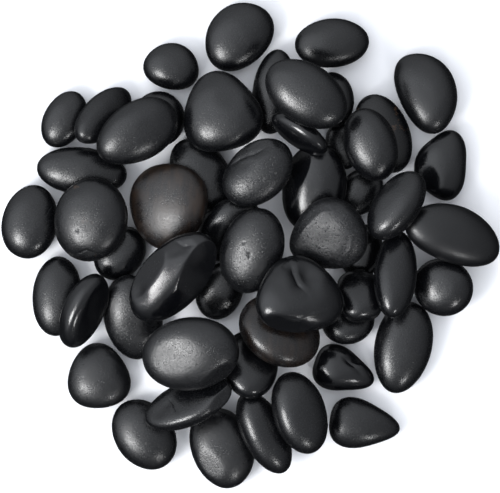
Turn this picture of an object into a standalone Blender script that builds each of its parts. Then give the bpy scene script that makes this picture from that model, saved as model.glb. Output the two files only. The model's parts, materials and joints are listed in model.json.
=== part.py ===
"""A heap of loose, polished basalt massage stones, each one resting on the floor or on its neighbours.

Every stone is a unit ball moved to a pebble's shape in its own frame: +X along its length, +Y across its
width and +Z through its thickness. The stones are laid one after the other, lowest first. Each is turned to
its place in plan, then tilted and lowered until it rests as low as it can on those already laid.
"""

import math
from dataclasses import dataclass

import bmesh
import bpy
import numpy as np
from mathutils import Matrix, Vector
from mathutils.bvhtree import BVHTree

MM = 0.001

HEAP_NAME = "basalt_massage_stones"
HEAP_WIDTH = 373.0  # across the drawing sheet, along X, mm
HEAP_DEPTH = 366.0  # up the drawing sheet, along Y, mm
SHEET_WIDTH = 373.0  # the sheet that the stones' places are drawn on, mm
SHEET_DEPTH = 366.0
CLEARANCE = 0.35  # left between stones that touch, mm
FULLNESS = 2.35  # 2 is an ellipsoid, and more is flatter on top and fuller at the sides
FLAT_SOFTNESS = 1.6  # how far a worn flat's edge is rounded, mm
STEEPEST_REST = 32.0  # how far a stone tilts as it comes to rest, degrees
FIRST_TILT_STEP = 6.0  # degrees
LAST_TILT_STEP = 0.4  # degrees
SMALLEST_GAIN = 1e-6  # a tilt that lowers a stone by less is no better, mm
CELL = 1.0  # pitch of the map of heights, mm
MAP_REACH = 260.0  # half the side of that map, mm
COARSE = 3  # subdivisions of a stone's own mesh
FINE = 5  # subdivisions of the surface that a stone is laid with

JET = (0.010, 0.010, 0.011)
BROWN = (0.030, 0.023, 0.019)
POLISHED = 0.24
SATIN = 0.34
GRAINY = 0.46


@dataclass
class Stone:
    """One stone: its place in plan, its sizes in mm and what sets its shape apart."""

    name: str
    x: float
    y: float
    turn: float  # direction of its length, degrees from +X
    length: float
    width: float
    thickness: float
    egg: float = 0.0  # above 0, it narrows towards the end that turn points to
    bend: float = 0.0  # above 0, its middle bows to its left
    lobes: tuple = ()  # (count, amount, direction in degrees) of each wave around its outline
    flats: tuple = ()  # (azimuth, elevation, depth in mm) of each worn flat
    dents: tuple = ()  # (azimuth, elevation, radius in mm, depth in mm) of each dent
    roll: float = 0.0  # turned about its length before it is laid, degrees
    steepest: float = STEEPEST_REST
    lean: tuple = ()  # (azimuth, degrees) that its top leans when others hold it, in place of the lowest tilt
    bed: float = 0.0  # radius of a level worn patch underneath, mm
    colour: tuple = JET
    roughness: float = POLISHED


# Lowest first. A stone rests on those above it in this list where they overlap in plan.
STONES = (
    # the outer ring on the floor
    Stone("upper_left_rim_oval", -140, 95.7, 62, 45, 31, 22),
    Stone("upper_left_covered_round", -69, 96, 80, 42, 40, 24),
    Stone("left_long_oval", -126.5, 56.6, 174, 68, 36, 25),
    Stone("left_rim_oval", -165.6, 18.7, 78, 56, 42, 27, egg=0.06),
    Stone("left_small_round", -98, -5, 50, 44, 36, 22),
    Stone("left_lower_rim_oval", -145.3, -37.5, 86, 60, 37, 26),
    Stone("left_rim_triangle", -114, -98.6, 95, 49, 47, 27, lobes=((3, 0.06, 0),)),
    Stone("bottom_left_rim_oval", -79.6, -141.5, 125, 57, 44.5, 28),
    Stone("bottom_rim_oval", -21, -151, 110, 62.5, 47, 28, lobes=((3, 0.02, 150),)),
    Stone("lower_right_rim_oval", 115, -76, 78, 70, 43, 29, egg=-0.08),
    Stone("lower_right_teardrop", 84.5, -133.7, 352, 53.5, 36, 25, egg=0.2, lobes=((3, 0.07, 0),)),
    Stone(
        "grooved_nose_stone", 69, -93, 340, 47, 33, 26,
        egg=0.1, lobes=((3, 0.09, 0),), dents=((65, 40, 5, 2),), roughness=SATIN,
    ),
    Stone("right_small_triangle", 144.8, 60.8, 82, 52, 39, 27, lobes=((3, 0.09, -22),)),
    Stone("right_upper_kidney", 132, 116.2, 113, 63.5, 44, 29, bend=-0.10, lobes=((3, 0.03, 40),)),
    Stone("top_right_rim_oval", 61.6, 153.1, 4, 56, 37, 26),
    Stone("upper_small_round", -59, 135.2, 168, 42, 35, 24, lobes=((3, 0.035, 27),)),
    # the middle of the heap on the floor
    Stone("upper_left_long_oval", -110.5, 98.5, 40, 58, 30, 22),
    Stone("upper_middle_covered_oval", -36, 54, 125, 61, 41, 24, bed=9),
    Stone("center_dark_oval", -15, 13, 60, 56, 44, 25),
    Stone("center_small_egg", -23, -33.5, 72, 44, 35, 22),
    Stone("lower_left_long_oval", -88, -53, 100, 66, 44, 26),
    Stone("upper_right_covered_dark", 70, 76, 100, 36, 26, 14),
    Stone("upper_right_covered_oval", 62, 110.5, 95, 43, 33, 22),
    Stone("upper_middle_upright_oval", 18, 116.5, 83, 64, 32, 26),
    Stone("right_covered_small", 83, 41, 50, 40, 31, 18),
    Stone("center_right_covered", 84, -4, 80, 42, 32, 18),
    Stone("right_lower_small_round", 74, -57, 20, 40, 34, 22),
    Stone("bottom_long_oval", 10.6, -139.5, 117, 67, 33, 26, steepest=20),
    Stone("bottom_middle_dark", 0, -88, 85, 56, 42, 24),
    Stone("brown_lower_middle", 22, -63, 145, 64, 54, 28, colour=BROWN, roughness=SATIN),
    # the second layer
    Stone("right_lower_squarish", 82, -37, 100, 43, 35, 24, lobes=((4, 0.045, 45),)),
    Stone("bottom_right_oval", 37, -124, 107, 63, 40, 27, steepest=20),
    Stone("right_rim_round", 145, -30.5, 155, 46, 43, 26, lean=(205, 12)),
    Stone("right_upright_oval", 108.5, -21, 82, 67, 32, 26, steepest=20),
    Stone("right_big_kidney", 151.7, 8, 341, 75, 43, 28, bend=0.13, steepest=16),
    Stone("right_sloping_oval", 109, 30.5, 58, 58, 35, 26),
    Stone("ridged_long_stone", 48, 44, 80, 68, 49, 30, flats=((90, 40, 4.0),), lean=(235, 9)),
    Stone("brown_spotted_oval", 100.3, 85, 112, 62, 40, 27),
    Stone("right_middle_oval", 90, 76, 107, 56, 39, 27),
    Stone("edge_on_lens", 37, 84, 147, 48, 30, 16, roll=-66, steepest=8),
    Stone("upper_right_big_oval", 41.6, 112.9, 147, 66.5, 44.5, 28, lean=(230, 8)),
    Stone("top_rim_egg", -8.4, 158.2, 45, 57, 46, 28, lobes=((3, 0.03, -35),)),
    Stone("upper_large_triangle", -21.4, 99.9, 103, 60.5, 59, 32, egg=0.05, lobes=((3, 0.065, 0),), steepest=8),
    Stone("upper_left_big_egg", -84.5, 85.5, 31, 66, 44, 29, egg=-0.10),
    Stone("left_large_pitted_round", -119, 20, 75, 63, 55, 32),
    Stone(
        "brown_left_round", -61, 31, 75, 65, 60, 30,
        lobes=((3, 0.04, -170),), colour=BROWN, roughness=SATIN, lean=(190, 18),
    ),
    Stone("lower_left_lens", -46, -117, 22, 71, 36, 21, roll=-32, steepest=14, flats=((0, 90, 2),)),
    Stone("rolled_flat_stone", -124.3, -48, 66, 60, 35, 24, roll=48, steepest=12, flats=((0, 90, 2),)),
    # the top layer
    Stone(
        "rough_faceted_stone", 5.8, 55.1, 42, 59.5, 43.5, 27,
        flats=((95, 45, 2.5),), roughness=GRAINY, lean=(215, 8),
    ),
    Stone("center_top_oval", 1.6, -3, 72, 66, 47, 30, lean=(220, 15)),
    Stone("granular_tailed_stone", 57.2, 7.6, 204, 61.5, 53, 29, egg=0.28, roughness=GRAINY),
    Stone("lower_left_big_bright", -44, -79.5, 8, 73, 55, 31, lean=(235, 15)),
    Stone(
        "long_dented_stone", -57.3, -22.7, 46, 83, 47, 29,
        flats=((-85, 50, 4),), dents=((29, 25, 7, 2.5),), lean=(238, 13),
    ),
    Stone(
        "top_dented_triangle", 36, -37, 0, 65, 58, 30,
        lobes=((3, 0.075, 95),), flats=((-100, 35, 3),), dents=((86, 40, 6, 2.5),), steepest=20,
    ),
)


def unit(azimuth, elevation):
    """The direction that an azimuth and an elevation, in degrees, point to."""
    around, up = math.radians(azimuth), math.radians(elevation)
    return np.array([math.cos(around) * math.cos(up), math.sin(around) * math.cos(up), math.sin(up)])


def ball(subdivisions):
    """The points and the triangles of a unit ball."""
    shape = bmesh.new()
    bmesh.ops.create_icosphere(shape, subdivisions=subdivisions, radius=1.0)
    points = np.array([corner.co[:] for corner in shape.verts])
    faces = [tuple(corner.index for corner in face.verts) for face in shape.faces]
    shape.free()
    return points / np.linalg.norm(points, axis=1, keepdims=True), faces


def wear_flats(points, flats):
    """Press each worn flat into the stone, with a rounded edge."""
    for azimuth, elevation, depth in flats:
        out = unit(azimuth, elevation)
        reach = points @ out
        past = (reach - (reach.max() - depth)) / FLAT_SOFTNESS
        points = points - np.outer(FLAT_SOFTNESS * np.logaddexp(0, past), out)
    return points


def press_dents(points, dents):
    """Press each round dent into the stone."""
    for azimuth, elevation, radius, depth in dents:
        out = unit(azimuth, elevation)
        middle = points[np.argmax(points @ out / np.linalg.norm(points, axis=1))]
        near = np.exp(-np.sum((points - middle) ** 2, axis=1) / radius**2)
        points = points - np.outer(depth * near, out)
    return points


def pebble(sphere, stone, grown=0.0):
    """The points of a unit ball moved to one stone's surface, in its own frame, in mm."""
    u, v, w = sphere.T
    across = np.hypot(u, v)
    full = (across**FULLNESS + np.abs(w) ** FULLNESS) ** (-1 / FULLNESS)
    outline = np.ones(len(sphere))
    for count, amount, direction in stone.lobes:
        wave = (u + 1j * v) ** count * np.exp(-1j * count * math.radians(direction))
        outline += amount * wave.real
    narrowing = 1 - stone.egg * u
    thinning = 1 - stone.egg / 2 * u
    x = u * full * outline * (stone.length / 2 + grown)
    y = (v * full * outline * narrowing + stone.bend * (0.5 - u * u)) * (stone.width / 2 + grown)
    z = w * full * thinning * (stone.thickness / 2 + grown)
    points = press_dents(wear_flats(np.stack([x, y, z], axis=1), stone.flats), stone.dents)
    if stone.bed:
        floor = -stone.thickness / 2 * math.sqrt(max(0, 1 - (2 * stone.bed / stone.width) ** 2))
        points[:, 2] = np.maximum(points[:, 2], floor)
    return points


def laid(stone):
    """The rotation of a stone as it is handled, before it tilts to rest."""
    turn = Matrix.Rotation(math.radians(stone.turn), 3, "Z")
    roll = Matrix.Rotation(math.radians(stone.roll), 3, "X")
    return np.array(turn @ roll)


def tilted(rotation, about_x, about_y):
    """A rotation tilted further about the floor's X and Y, in degrees."""
    lean = Matrix.Rotation(math.radians(about_y), 3, "Y") @ Matrix.Rotation(math.radians(about_x), 3, "X")
    return np.array(lean) @ rotation


class HeightMap:
    """How high the stones already laid reach, on a square grid over the floor."""

    def __init__(self):
        side = int(2 * MAP_REACH / CELL)
        self.heights = np.zeros((side, side))

    def cells(self, points):
        """The grid cell under each point."""
        cell = ((points[:, :2] + MAP_REACH) / CELL).astype(int)
        return cell[:, 0], cell[:, 1]

    def add(self, points):
        """Raise the map to the surface that these closely spaced points are on."""
        np.maximum.at(self.heights, self.cells(points), points[:, 2])

    def rest(self, points):
        """The height at which a stone with these points stops as it is lowered."""
        return np.max(self.heights[self.cells(points)] - points[:, 2])


def held_tilt(stone):
    """The tilt, in degrees about X and Y, of a stone that its neighbours hold at a lean."""
    azimuth, angle = math.radians(stone.lean[0]), stone.lean[1]
    return -angle * math.sin(azimuth), angle * math.cos(azimuth)


def lowest_tilt(stone, points, place, heights):
    """The tilt, in degrees about X and Y, at which a stone's middle comes to rest lowest."""
    rotation = laid(stone)

    def rest(about_x, about_y):
        return heights.rest(points @ tilted(rotation, about_x, about_y).T + place)

    tilt = (0.0, 0.0)
    best = rest(*tilt)
    step = FIRST_TILT_STEP
    while step > LAST_TILT_STEP:
        tries = []
        for eighth in range(8):
            around = eighth * math.pi / 4
            about = (tilt[0] + step * math.cos(around), tilt[1] + step * math.sin(around))
            if math.hypot(*about) <= stone.steepest:
                tries.append((rest(*about), about))
        if tries and min(tries)[0] < best - SMALLEST_GAIN:
            best, tilt = min(tries)
        else:
            step /= 2
    return tilt


class Laid:
    """A stone that has come to rest: its rotation, its middle and its surface."""

    def __init__(self, stone, rotation, middle, fine, faces):
        self.stone = stone
        self.rotation = rotation
        self.middle = middle
        self.surface = fine @ rotation.T + middle
        self.tree = BVHTree.FromPolygons(self.surface.tolist(), faces)
        self.low = self.surface.min(axis=0)
        self.high = self.surface.max(axis=0)


def drop(points, faces, under):
    """How far a stone with these points falls before it meets one of the stones under it."""
    down, up = Vector((0, 0, -1)), Vector((0, 0, 1))
    low, high = points.min(axis=0), points.max(axis=0)
    tree = BVHTree.FromPolygons(points.tolist(), faces)
    falls = []
    for other in under:
        if np.any(other.high[:2] < low[:2]) or np.any(other.low[:2] > high[:2]):
            continue
        for start in points[np.all((points >= other.low)[:, :2] & (points <= other.high)[:, :2], axis=1)]:
            falls.append(other.tree.ray_cast(Vector(start), down)[3])
        inside = np.all((other.surface >= low)[:, :2] & (other.surface <= high)[:, :2], axis=1)
        for start in other.surface[inside & (other.surface[:, 2] > other.middle[2])]:
            falls.append(tree.ray_cast(Vector(start), up)[3])
    return min((fall for fall in falls if fall is not None), default=math.inf)


def lay(stones):
    """Lay the stones one after the other, and return each at rest."""
    fine_ball, fine_faces = ball(FINE)
    coarse_ball, _ = ball(COARSE)
    dense_ball, _ = ball(FINE + 1)
    heights = HeightMap()
    at_rest = []
    for stone in stones:
        place = np.array([stone.x * HEAP_WIDTH / SHEET_WIDTH, stone.y * HEAP_DEPTH / SHEET_DEPTH, 0])
        fine = pebble(fine_ball, stone)
        grown = pebble(fine_ball, stone, CLEARANCE)
        about_x, about_y = held_tilt(stone) if stone.lean else lowest_tilt(stone, grown, place, heights)
        rotation = tilted(laid(stone), about_x, about_y)
        on_floor = -(pebble(coarse_ball, stone) @ rotation.T)[:, 2].min()
        high = place + (0, 0, heights.heights.max() + stone.length)
        fall = drop(grown @ rotation.T + high, fine_faces, at_rest)
        middle = place + (0, 0, max(on_floor, high[2] - fall))
        at_rest.append(Laid(stone, rotation, middle, fine, fine_faces))
        heights.add(pebble(dense_ball, stone) @ rotation.T + middle)
    return at_rest


def heap_middle(at_rest):
    """The middle of the heap in plan, from the corners of the stones' own meshes."""
    coarse_ball, _ = ball(COARSE)
    corners = np.concatenate([pebble(coarse_ball, one.stone) @ one.rotation.T + one.middle for one in at_rest])
    low, high = corners.min(axis=0), corners.max(axis=0)
    return np.array([(low[0] + high[0]) / 2, (low[1] + high[1]) / 2, 0])


def stone_material(stone):
    """The polished basalt of one stone."""
    material = bpy.data.materials.new(stone.name + "_basalt")
    material.use_nodes = True
    surface = material.node_tree.nodes["Principled BSDF"]
    surface.inputs["Base Color"].default_value = (*stone.colour, 1.0)
    surface.inputs["Roughness"].default_value = stone.roughness
    surface.inputs["Metallic"].default_value = 0.0
    return material


def stone_object(one, middle, collection):
    """One stone as a mesh in its own frame, placed where it rests."""
    sphere, faces = ball(COARSE)
    mesh = bpy.data.meshes.new(one.stone.name)
    mesh.from_pydata((pebble(sphere, one.stone) * MM).tolist(), [], faces)
    mesh.materials.append(stone_material(one.stone))
    mesh.shade_smooth()
    body = bpy.data.objects.new(one.stone.name, mesh)
    place = Matrix.Translation(Vector((one.middle - middle) * MM))
    body.matrix_world = place @ Matrix(one.rotation.tolist()).to_4x4()
    collection.objects.link(body)
    return body


def main():
    """Build the heap."""
    for old in list(bpy.data.objects):
        bpy.data.objects.remove(old, do_unlink=True)
    collection = bpy.data.collections.new(HEAP_NAME)
    bpy.context.scene.collection.children.link(collection)
    at_rest = lay(STONES)
    middle = heap_middle(at_rest)
    for one in at_rest:
        stone_object(one, middle, collection)


main()
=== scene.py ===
"""Looks of a heap of polished basalt massage stones: every stone's fine surface, its material and the studio.

Each stone is a smooth closed surface through the corners of its CAD solid, then given the worn flats, ridges,
dents, pits and slow unevenness of that stone. Lengths in the tables are in millimetres. Places are in plan,
measured from the middle of the picture, with +X right and +Y up as the heap is seen from above.
"""

import json
import math

import bmesh
import bpy
import numpy as np
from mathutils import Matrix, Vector


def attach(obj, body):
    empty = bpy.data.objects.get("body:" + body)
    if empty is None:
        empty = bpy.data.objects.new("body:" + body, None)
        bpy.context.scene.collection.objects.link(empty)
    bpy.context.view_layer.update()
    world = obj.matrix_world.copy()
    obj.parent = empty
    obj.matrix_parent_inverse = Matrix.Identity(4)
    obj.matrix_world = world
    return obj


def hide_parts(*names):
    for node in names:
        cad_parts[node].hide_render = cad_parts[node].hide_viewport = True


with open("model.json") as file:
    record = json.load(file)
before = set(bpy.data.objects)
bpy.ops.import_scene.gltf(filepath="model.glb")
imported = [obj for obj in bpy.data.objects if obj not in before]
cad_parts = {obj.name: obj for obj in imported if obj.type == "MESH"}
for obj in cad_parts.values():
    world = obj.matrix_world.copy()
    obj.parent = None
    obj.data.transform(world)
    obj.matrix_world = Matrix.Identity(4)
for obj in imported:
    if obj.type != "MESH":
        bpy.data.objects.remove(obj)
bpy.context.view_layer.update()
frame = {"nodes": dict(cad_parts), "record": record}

MM = 0.001
PLAIN_DETAIL = 6  # subdivisions of a smooth stone
FINE_DETAIL = 7  # subdivisions of a stone with creases or dents
PICTURE_SHIFT = np.array([-0.24, 0.75])  # a place in the tables, less the same place in the frame, in mm
SPOT_REACH = 1.5  # how near in plan a point counts as over a place, in mm
WAVES = ((34, 1.0), (22, 0.6), (14, 0.32), (9, 0.14))  # wavelengths of the unevenness in mm, and their shares
WAVES_EACH = 3
WAVE_HEIGHT = 0.16  # mm
CREASE_END_FADE = 0.3  # the share of a crease's length over which each end fades
CREASE_END_DEPTH = 0.15
CREASE_SHARPNESS = 1.8


# ---------------------------------------------------------------- shapes


def ball(subdivisions):
    """The points and the triangles of a unit ball."""
    shape = bmesh.new()
    bmesh.ops.create_icosphere(shape, subdivisions=subdivisions, radius=1.0)
    points = np.array([corner.co[:] for corner in shape.verts])
    faces = [[corner.index for corner in face.verts] for face in shape.faces]
    shape.free()
    return points / np.linalg.norm(points, axis=1, keepdims=True), np.array(faces)


BALLS = {detail: ball(detail) for detail in (PLAIN_DETAIL, FINE_DETAIL)}


def cad_corners(node):
    """The corners of a CAD node, each once, in mm."""
    mesh = frame["nodes"][node].data
    flat = np.empty(len(mesh.vertices) * 3)
    mesh.vertices.foreach_get("co", flat)
    return np.unique(np.round(flat.reshape(-1, 3) / MM, 3), axis=0)


def cubic_kernel(a, b):
    """The cube of each distance from a point of a to a point of b."""
    return np.linalg.norm(a[:, None] - b[None], axis=2) ** 3


def surface_through(corners, directions):
    """Points on the smooth closed surface through a stone's corners, one for each direction."""
    middle = corners.mean(axis=0)
    spread, axes = np.linalg.eigh(np.cov((corners - middle).T))
    if np.linalg.det(axes) < 0:
        axes[:, 0] *= -1
    size = np.sqrt(3 * spread)
    seen = (corners - middle) @ axes / size
    radius = np.linalg.norm(seen, axis=1)
    seen /= radius[:, None]
    count = len(seen)
    system = np.zeros((count + 4, count + 4))
    system[:count, :count] = cubic_kernel(seen, seen)
    system[:count, count:] = np.column_stack([np.ones(count), seen])
    system[count:, :count] = system[:count, count:].T
    weights = np.linalg.solve(system, np.concatenate([radius, np.zeros(4)]))
    reach = cubic_kernel(directions, seen) @ weights[:count]
    reach += weights[count] + directions @ weights[count + 1 :]
    return middle + (directions * reach[:, None] * size) @ axes.T


def normals_of(points, faces):
    """The outward normal at each point."""
    a, b, c = (points[faces[:, k]] for k in range(3))
    across = np.cross(b - a, c - a)
    total = np.zeros_like(points)
    for k in range(3):
        np.add.at(total, faces[:, k], across)
    return total / np.linalg.norm(total, axis=1, keepdims=True)


def unit(azimuth, elevation):
    """The direction that an azimuth and an elevation, in degrees, point to."""
    around, up = math.radians(azimuth), math.radians(elevation)
    return np.array([math.cos(around) * math.cos(up), math.sin(around) * math.cos(up), math.sin(up)])


def spot(points, at):
    """The point of the upper surface over a place in plan."""
    away = np.hypot(*(points[:, :2] - (np.array(at) - PICTURE_SHIFT)).T)
    near = np.flatnonzero(away < SPOT_REACH)
    return points[near[np.argmax(points[near, 2])]] if len(near) else points[np.argmin(away)]


def smooth_step(value):
    """0 below 0, 1 above 1, and smooth between."""
    t = np.clip(value, 0, 1)
    return t * t * (3 - 2 * t)


def worn_flat(points, normals, facing, depth, softness=0.5):
    """A worn flat facing a direction, given as (azimuth, elevation), pressed in by depth.

    The normals aren't needed; every shape takes the same first two arguments.
    """
    out = unit(*facing)
    reach = points @ out
    past = (reach - (reach.max() - depth)) / softness
    return points - np.outer(softness * np.logaddexp(0, past), out)


def dent(points, normals, at, radius, depth, stretch=1.0, along=0.0):
    """A soft dent at a place, stretched along a direction in degrees; below 0 it is a swelling."""
    apart = points - spot(points, at)
    lengthwise = apart @ unit(along, 0)
    square = np.sum(apart**2, axis=1) - lengthwise**2 + (lengthwise / stretch) ** 2
    return points - normals * (depth * np.exp(-square / radius**2))[:, None]


def crease(points, normals, path, width, depth, lean=0.0):
    """A groove along a path; below 0 it is a ridge.

    Lean shifts the slopes: above 0, the side to the path's right falls away over a longer stretch.
    """
    knots = [spot(points, at) for at in path]
    lengths = [np.linalg.norm(b - a) for a, b in zip(knots, knots[1:])]
    total, before = sum(lengths), 0.0
    away = np.full(len(points), np.inf)
    along = np.zeros(len(points))
    side = np.zeros(len(points))
    for a, b, length in zip(knots, knots[1:], lengths):
        t = np.clip((points - a) @ (b - a) / length**2, 0, 1)
        apart = points - a - t[:, None] * (b - a)
        gap = np.linalg.norm(apart, axis=1)
        right = np.cross((b - a) / length, (0, 0, 1))
        nearer = gap < away
        away = np.where(nearer, gap, away)
        along = np.where(nearer, (before + t * length) / total, along)
        side = np.where(nearer, apart @ right, side)
        before += length
    reach = width * (1 + lean * smooth_step(side / width + 0.5))
    ends = smooth_step(along / CREASE_END_FADE) * smooth_step((1 - along) / CREASE_END_FADE)
    fade = CREASE_END_DEPTH + (1 - CREASE_END_DEPTH) * ends
    profile = np.clip(1 - away / reach, 0, 1) ** CREASE_SHARPNESS
    return points - normals * (depth * profile * fade)[:, None]


def uneven(points, normals, seed):
    """Slow waves over the whole stone, which bend its reflections as hand-worn stone does."""
    rng = np.random.default_rng(seed)
    lift = np.zeros(len(points))
    for wavelength, share in WAVES:
        for _ in range(WAVES_EACH):
            way = rng.normal(size=3)
            way *= 2 * math.pi / wavelength / np.linalg.norm(way)
            lift += share * np.sin(points @ way + rng.uniform(0, 2 * math.pi))
    return points + normals * (WAVE_HEIGHT * lift / WAVES_EACH)[:, None]


def stone_mesh(name, points, faces):
    """A smooth mesh with these points, in mm."""
    mesh = bpy.data.meshes.new(name)
    mesh.from_pydata((points * MM).tolist(), [], faces.tolist())
    mesh.shade_smooth()
    return mesh


# ---------------------------------------------------------------- what each stone has of its own

PLAIN, SATIN, GRAINY, BROWN = "polished_basalt", "satin_basalt", "grainy_basalt", "brown_basalt"

# Shapes applied one after another to the stones that have them. Facings and alongs are in degrees.
FEATURES = {
    "long_dented_stone": (
        (worn_flat, dict(facing=(-35, 50), depth=6.0, softness=0.3)),
        (worn_flat, dict(facing=(162, 48), depth=3.2, softness=0.3)),
        (dent, dict(at=(-50, 3), radius=7, depth=1.8, stretch=1.5, along=150)),
        (crease, dict(path=((-58, 6), (-50, 1), (-43, 2)), width=3.0, depth=0.7)),
        (dent, dict(at=(-84, -36), radius=7, depth=1.0)),
    ),
    "top_dented_triangle": (
        (worn_flat, dict(facing=(-95, 42), depth=2.2, softness=0.25)),
        (dent, dict(at=(43, -24), radius=7.5, depth=1.8, stretch=1.5, along=-62)),
        (crease, dict(path=((29, -8), (33, -18), (37, -27), (43, -34)), width=4.5, depth=2.2, lean=1.2)),
        (dent, dict(at=(24, -20), radius=7, depth=-0.5)),
        (crease, dict(path=((21, -53), (34, -56), (48, -51), (63, -47)), width=2.2, depth=-0.5)),
    ),
    "ridged_long_stone": (
        (worn_flat, dict(facing=(160, 50), depth=2.4, softness=0.25)),
    ),
    "granular_tailed_stone": (
        (crease, dict(path=((32, 0), (40, 14), (52, 26), (62, 28)), width=5, depth=-0.9)),
        (crease, dict(path=((77, 8), (74, -4), (62, -17)), width=3.2, depth=-0.7)),
        (dent, dict(at=(55, 4), radius=13, depth=0.9)),
    ),
    "rough_faceted_stone": (
        (worn_flat, dict(facing=(120, 58), depth=1.6, softness=0.3)),
        (crease, dict(path=((-17, 60), (-9, 66), (2, 70), (12, 75)), width=3.5, depth=1.1)),
        (dent, dict(at=(-4, 62), radius=4, depth=0.7, stretch=1.6, along=30)),
    ),
    "rolled_flat_stone": (
        (worn_flat, dict(facing=(-25, 35), depth=2.0, softness=0.3)),
    ),
    "lower_left_lens": (
        (worn_flat, dict(facing=(112, 48), depth=2.0, softness=0.25)),
        (worn_flat, dict(facing=(-20, 62), depth=2.5, softness=0.5)),
        (crease, dict(path=((-62, -111), (-58, -117), (-55, -124)), width=2.5, depth=0.5)),
        (dent, dict(at=(-70, -123), radius=6, depth=0.7)),
        (dent, dict(at=(-63, -117), radius=4, depth=0.6)),
    ),
    "bottom_rim_oval": (
        (worn_flat, dict(facing=(222, 68), depth=1.0, softness=0.3)),
    ),
    "grooved_nose_stone": (
        (crease, dict(path=((68, -80), (78, -88), (88, -99)), width=6.0, depth=1.3)),
        (dent, dict(at=(72, -108), radius=7, depth=1.0, stretch=1.6)),
    ),
    "left_large_pitted_round": (
        (dent, dict(at=(-130, 11), radius=1.5, depth=0.4)),
        (dent, dict(at=(-122.5, -7), radius=5, depth=0.5, stretch=1.8)),
        (crease, dict(path=((-131, -7), (-122, -4), (-114, -7)), width=2.0, depth=0.4)),
    ),
    "lower_left_big_bright": (
        (worn_flat, dict(facing=(-62, 40), depth=2.4, softness=0.5)),
        (worn_flat, dict(facing=(216, 71), depth=1.6, softness=0.6)),
    ),
    "right_small_triangle": (
        (worn_flat, dict(facing=(212, 62), depth=1.6, softness=0.7)),
    ),
    "center_top_oval": (
        (dent, dict(at=(-2, -7), radius=1.6, depth=0.35)),
        (dent, dict(at=(-6, 2), radius=1.3, depth=0.3)),
        (crease, dict(path=((-5, -3), (-2, -6), (-1, -11)), width=1.2, depth=0.3)),
    ),
    "left_rim_oval": (
        (crease, dict(path=((-152, 24), (-148, 30), (-147, 36)), width=1.2, depth=0.3)),
    ),
    "upper_large_triangle": (
        (worn_flat, dict(facing=(90, 78), depth=0.8, softness=0.4)),
    ),
}

# The usual look of each material slot.
LOOKS = {
    PLAIN: dict(roughness=0.25, grain=0.45),
    SATIN: dict(roughness=0.30, grain=0.4),
    GRAINY: dict(roughness=0.27, grain=2.4),
    BROWN: dict(roughness=0.29, grain=0.7, brown=1.0),
}
# What differs from that on single stones.
OWN_LOOKS = {
    "rough_faceted_stone": dict(roughness=0.25, grain=1.4),
    "brown_lower_middle": dict(roughness=0.25, grain=0.5, brown=0.6),
    "right_rim_round": dict(roughness=0.21, grain=0.5),
    "right_upright_oval": dict(roughness=0.20, grain=0.4),
    "left_small_round": dict(roughness=0.20, grain=0.4),
    "right_lower_squarish": dict(roughness=0.20, grain=0.4),
    "center_right_covered": dict(roughness=0.20, grain=0.4),
    "bottom_middle_dark": dict(roughness=0.20, grain=0.4),
    "top_rim_egg": dict(roughness=0.22, grain=0.5),
    "right_small_triangle": dict(roughness=0.18, grain=0.3),
    "right_upper_kidney": dict(roughness=0.30, grain=0.35),
    "top_right_rim_oval": dict(roughness=0.29, grain=0.35),
    "bottom_left_rim_oval": dict(roughness=0.28, grain=0.6),
    "brown_spotted_oval": dict(brown_spots=1.0),
    "left_large_pitted_round": dict(brown_spots=0.35, grain=0.7, roughness=0.28),
    "lower_left_big_bright": dict(roughness=0.31, grain=1.1),
    "left_rim_triangle": dict(roughness=0.31, grain=0.9),
    "right_big_kidney": dict(roughness=0.34, grain=0.12),
    "center_top_oval": dict(roughness=0.27, grain=1.1),
    "edge_on_lens": dict(roughness=0.16, grain=0.15),
    "rolled_flat_stone": dict(roughness=0.17, grain=0.25),
    "long_dented_stone": dict(roughness=0.17, grain=0.3),
    "top_dented_triangle": dict(roughness=0.17, grain=0.35),
    "ridged_long_stone": dict(roughness=0.19, grain=0.3),
    "bottom_rim_oval": dict(roughness=0.29, grain=0.7),
    "upper_left_big_egg": dict(roughness=0.27, grain=0.5),
    "lower_left_lens": dict(roughness=0.20, grain=0.7),
    "grooved_nose_stone": dict(roughness=0.17, grain=0.25),
    "lower_left_long_oval": dict(roughness=0.27, grain=0.8),
}


# ---------------------------------------------------------------- materials


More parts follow.
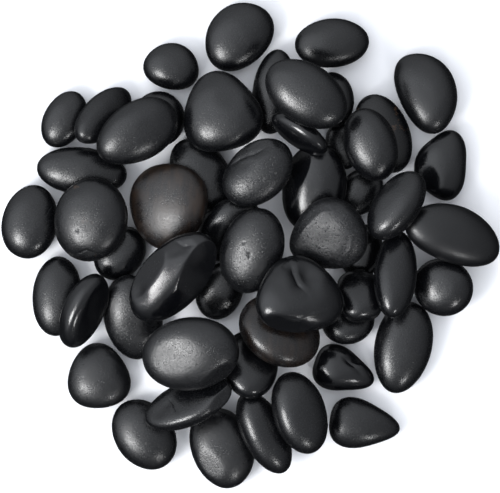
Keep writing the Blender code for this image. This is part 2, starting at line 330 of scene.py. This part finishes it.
class Nodes:
    """Short calls for building the node tree of a material or of the world."""

    def __init__(self, tree):
        self.tree = tree

    def link(self, value, socket):
        """Set a socket to a constant, or link it."""
        if isinstance(value, (int, float, tuple)):
            socket.default_value = value
        else:
            self.tree.links.new(value, socket)

    def add(self, kind, output=0, **inputs):
        """The output socket of a new node with these inputs."""
        node = self.tree.nodes.new(kind)
        for name, value in inputs.items():
            self.link(value, node.inputs[name])
        return node.outputs[output]

    def stretched(self, where, scale):
        """Coordinates scaled by a different amount along each axis."""
        node = self.tree.nodes.new("ShaderNodeMapping")
        node.inputs["Scale"].default_value = scale
        self.link(where, node.inputs["Vector"])
        return node.outputs[0]

    def noise(self, where, scale, detail, roughness=0.5):
        """Noise between about 0.2 and 0.8, with features of about 1 / scale metres."""
        return self.add(
            "ShaderNodeTexNoise", Vector=where, Scale=scale, Detail=detail, Roughness=roughness
        )

    def toward(self, direction, axis):
        """How far a direction points along an axis: the cosine between them."""
        node = self.tree.nodes.new("ShaderNodeVectorMath")
        node.operation = "DOT_PRODUCT"
        self.link(direction, node.inputs[0])
        self.link(axis, node.inputs[1])
        return node.outputs["Value"]

    def ramp(self, value, low, high, start, end, smooth=False):
        """Map low..high to start..end, held outside."""
        node = self.tree.nodes.new("ShaderNodeMapRange")
        node.interpolation_type = "SMOOTHSTEP" if smooth else "LINEAR"
        for name, setting in (("Value", value), ("From Min", low), ("From Max", high)):
            self.link(setting, node.inputs[name])
        node.inputs["To Min"].default_value = start
        node.inputs["To Max"].default_value = end
        return node.outputs[0]

    def maths(self, operation, a, b):
        """One operation on two values."""
        node = self.tree.nodes.new("ShaderNodeMath")
        node.operation = operation
        self.link(a, node.inputs[0])
        self.link(b, node.inputs[1])
        return node.outputs[0]

    def mix(self, factor, a, b):
        """Mix two colours."""
        node = self.tree.nodes.new("ShaderNodeMix")
        node.data_type = "RGBA"
        self.link(factor, node.inputs["Factor"])
        self.link(a, node.inputs["A"])
        self.link(b, node.inputs["B"])
        return node.outputs["Result"]


BLACK = (0.0013, 0.0014, 0.0018, 1)
GREY_GRAIN = (0.016, 0.017, 0.019, 1)
BROWN_BODY = (0.0105, 0.0066, 0.0045, 1)
BROWN_SPOT = (0.050, 0.028, 0.016, 1)
BASALT_IOR = 1.46
RELIEF_DEPTH = 0.00035  # metres
# noise scales, in features per metre
FINE_GRAIN, MEDIUM_GRAIN, CLOUDS, STREAKS, PATCHES = 1500.0, 620.0, 60.0, 260.0, 75.0
STREAK_STRETCH = (1.0, 0.16, 1.0)
OBJECT_PLACE, GENERATED = 3, 0  # outputs of the texture coordinate node


def basalt(name, roughness, grain, brown=0.0, brown_spots=0.0):
    """Polished basalt: near black, with a fine mineral grain, tiny pits and, on some, brown iron stain."""
    material = bpy.data.materials.new(name)
    material.use_nodes = True
    make = Nodes(material.node_tree)
    surface = material.node_tree.nodes["Principled BSDF"]
    where = make.add("ShaderNodeTexCoord", output=OBJECT_PLACE)
    fine = make.noise(where, FINE_GRAIN, detail=3.0, roughness=0.6)
    medium = make.noise(where, MEDIUM_GRAIN, detail=3.0, roughness=0.6)
    cloud = make.noise(where, CLOUDS, detail=4.0, roughness=0.6)
    speck = make.ramp(fine, 0.55, 0.74, 0.0, 0.2 + 0.7 * grain)
    colour = make.mix(speck, BLACK, GREY_GRAIN)
    if brown:
        stain = make.ramp(cloud, 0.36, 0.66, 0.15 * brown, brown)
        streak = make.noise(make.stretched(where, STREAK_STRETCH), STREAKS, detail=3.0)
        stain = make.maths("MULTIPLY", stain, make.ramp(streak, 0.35, 0.65, 0.35, 1.3))
        colour = make.mix(stain, colour, BROWN_BODY)
    if brown_spots:
        patch = make.noise(where, PATCHES, detail=4.0, roughness=0.65)
        spots = make.ramp(patch, 0.62, 0.70, 0.0, brown_spots)
        colour = make.mix(spots, colour, BROWN_SPOT)
    make.link(colour, surface.inputs["Base Color"])
    worn = make.ramp(cloud, 0.3, 0.7, roughness - 0.05, roughness + 0.06)
    matt = make.ramp(medium, 0.42, 0.68, -0.03, 0.05 + 0.10 * grain)
    make.link(make.maths("ADD", worn, matt), surface.inputs["Roughness"])
    pits = make.ramp(medium, 0.30, 0.40, 0.0, 1.0)
    relief = make.maths("ADD", make.maths("MULTIPLY", pits, 0.6), medium)
    relief = make.maths("ADD", relief, make.maths("MULTIPLY", fine, 0.5))
    bump = make.tree.nodes.new("ShaderNodeBump")
    bump.inputs["Strength"].default_value = 0.10 + 0.26 * grain
    bump.inputs["Distance"].default_value = RELIEF_DEPTH
    make.link(relief, bump.inputs["Height"])
    make.link(bump.outputs[0], surface.inputs["Normal"])
    surface.inputs["IOR"].default_value = BASALT_IOR
    return material


# ---------------------------------------------------------------- the stones


def build_stone(seed, node, slot, body):
    """The finished surface of one stone, in place of its CAD node."""
    features = FEATURES.get(node, ())
    directions, faces = BALLS[FINE_DETAIL if features else PLAIN_DETAIL]
    points = surface_through(cad_corners(node), directions)
    points = uneven(points, normals_of(points, faces), seed)
    for shape, sizes in features:
        points = shape(points, normals_of(points, faces), **sizes)
    name = node + "_surface"
    piece = bpy.data.objects.new(name, stone_mesh(name, points, faces))
    bpy.context.scene.collection.objects.link(piece)
    looks = {**LOOKS[slot], **OWN_LOOKS.get(node, {})}
    piece.data.materials.append(basalt(node + "_basalt", **looks))
    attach(piece, body)
    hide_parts(node)


def build_stones():
    """Every stone of the heap."""
    record = frame["record"]
    slots = {part["node"]: part["material_slot"] for part in record["subparts"]}
    bodies = record["behaviour"]["bodies"]
    owner = {node: body for body, nodes in bodies.items() for node in nodes}
    for seed, node in enumerate(sorted(slots)):
        build_stone(seed, node, slots[node], owner[node])


# ---------------------------------------------------------------- the studio


TABLE_GLOW = 0.06  # how brightly the stones mirror the pale table
ZENITH_LIGHT = 0.77
GLOW_TOP, ZENITH_FULL = -0.10, 0.95  # sines of the elevations where the one ends and the other is full
# azimuth and elevation of a bright side, cosines where it starts and is full, strength
TENT_SIDES = [(120, 30, 0.10, 0.95, 0.75), (190, 50, 0.65, 1.0, 1.3)]
TENT_WHITE = (0.91, 0.945, 1.0, 1)
FILL_WHITE = (0.94, 0.955, 1.0)
FLOOR_WHITE = (0.62, 0.627, 0.645, 1)
FLOOR_SIZE = 6.0
PICTURE_WIDTH = 0.375  # what the camera takes in from side to side, in metres
FRAMED_LEVEL = 0.025  # the height at which it takes in that much


def build_floor():
    """A plain white floor."""
    bpy.ops.mesh.primitive_plane_add(size=FLOOR_SIZE, location=(0, 0, 0))
    floor = bpy.context.object
    floor.name = "studio_floor"
    material = bpy.data.materials.new("studio_floor_white")
    material.use_nodes = True
    surface = material.node_tree.nodes["Principled BSDF"]
    surface.inputs["Base Color"].default_value = FLOOR_WHITE
    surface.inputs["Roughness"].default_value = 0.8
    surface.inputs["Specular IOR Level"].default_value = 0.2
    floor.data.materials.append(material)
    floor.visible_glossy = False


def softbox(name, azimuth, elevation, distance, side, energy, colour=(1, 1, 1), reflected=True):
    """A square softbox that faces the heap from a direction, in metres and watts."""
    light = bpy.data.lights.new(name, "AREA")
    light.shape = "SQUARE"
    light.size = side
    light.energy = energy
    light.color = colour
    lamp = bpy.data.objects.new(name, light)
    lamp.location = Vector(unit(azimuth, elevation) * distance)
    lamp.rotation_euler = (-lamp.location).to_track_quat("-Z", "Y").to_euler()
    lamp.visible_camera = False
    lamp.visible_glossy = reflected
    bpy.context.scene.collection.objects.link(lamp)


def build_lights():
    """A key softbox from the lower left, a small front light and even light from overhead."""
    softbox("key_softbox", azimuth=214, elevation=51, distance=1.5, side=0.5, energy=21)
    softbox("small_front_light", azimuth=295, elevation=36, distance=1.5, side=0.15, energy=4)
    softbox(
        "overhead_fill", azimuth=90, elevation=89, distance=1.6, side=3.0, energy=40,
        colour=FILL_WHITE, reflected=False,
    )
    bpy.context.scene.view_settings.view_transform = "Standard"


def build_room():
    """A white tent round the heap, brightest overhead and to the left, dim to the lower right."""
    world = bpy.data.worlds.new("studio_room")
    world.use_nodes = True
    make = Nodes(world.node_tree)
    toward = make.add("ShaderNodeTexCoord", output=GENERATED)
    height = make.toward(toward, (0.0, 0.0, 1.0))
    light = make.ramp(height, GLOW_TOP, ZENITH_FULL, TABLE_GLOW, ZENITH_LIGHT)
    for azimuth, elevation, begins, full, strength in TENT_SIDES:
        along = make.toward(toward, tuple(unit(azimuth, elevation)))
        glow = make.ramp(along, begins, full, 0.0, strength, smooth=True)
        light = make.maths("ADD", light, glow)
    room = world.node_tree.nodes["Background"]
    room.inputs["Color"].default_value = TENT_WHITE
    make.link(light, room.inputs["Strength"])
    bpy.context.scene.world = world


def build_camera():
    """A long lens straight above the heap, with +Y up in the picture."""
    camera = bpy.data.cameras.new("camera_above")
    camera.lens = 300
    camera.sensor_width = 36
    camera.sensor_fit = "HORIZONTAL"
    view = bpy.data.objects.new("camera_above", camera)
    height = FRAMED_LEVEL + PICTURE_WIDTH * camera.lens / camera.sensor_width
    view.location = (*(-PICTURE_SHIFT * MM), height)
    camera.clip_end = 10
    bpy.context.scene.collection.objects.link(view)
    bpy.context.scene.camera = view


build_stones()
build_floor()
build_lights()
build_room()
build_camera()
